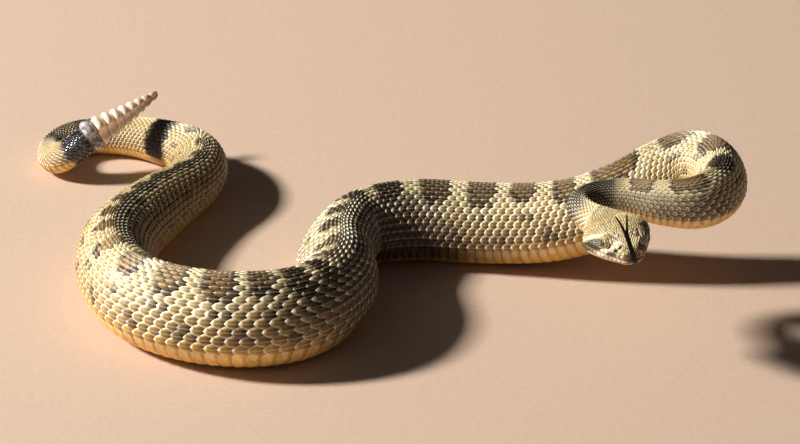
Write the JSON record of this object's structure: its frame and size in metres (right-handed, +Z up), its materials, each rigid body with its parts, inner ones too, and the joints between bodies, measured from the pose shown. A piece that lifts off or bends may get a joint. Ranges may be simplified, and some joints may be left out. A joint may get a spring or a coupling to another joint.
{
  "type": "coiled snake",
  "caption": "Life-size rattlesnake lying in a defensive coil, its neck lifted in a loop, head held out with the forked tongue up, and its horny rattle raised.",
  "frame": {"origin": "on the floor, below the middle of the animal's box", "axes": "+Z up from the floor it lies on, -Y towards the viewer the head faces, +X towards the raised loop of the neck"},
  "size_m": [0.3698, 0.2603, 0.093],
  "materials": {
    "scaled_skin": "satin keeled scales, olive tan with brown blotches, cream to orange on the belly, black at the tail's end",
    "eye": "wet gloss, olive iris with a dark upright slit",
    "tongue": "moist black",
    "rattle_horn": "smooth pinkish tan horn, darker towards the tip"
  },
  "bodies": {
    "root": {"head": "scaled_skin", "lower_jaw": "scaled_skin", "eye_left": "eye", "eye_right": "eye", "tongue": "tongue", "neck": "scaled_skin", "trunk_1": "scaled_skin", "trunk_2": "scaled_skin", "trunk_3": "scaled_skin", "trunk_4": "scaled_skin", "trunk_5": "scaled_skin", "trunk_6": "scaled_skin", "trunk_7": "scaled_skin", "trunk_8": "scaled_skin", "tail_1": "scaled_skin", "tail_2": "scaled_skin", "tail_end": "scaled_skin", "rattle_1": "rattle_horn", "rattle_2": "rattle_horn", "rattle_3": "rattle_horn", "rattle_4": "rattle_horn", "rattle_5": "rattle_horn", "rattle_6": "rattle_horn", "rattle_7": "rattle_horn", "rattle_8": "rattle_horn", "rattle_9": "rattle_horn"}
  },
  "joints": []
}
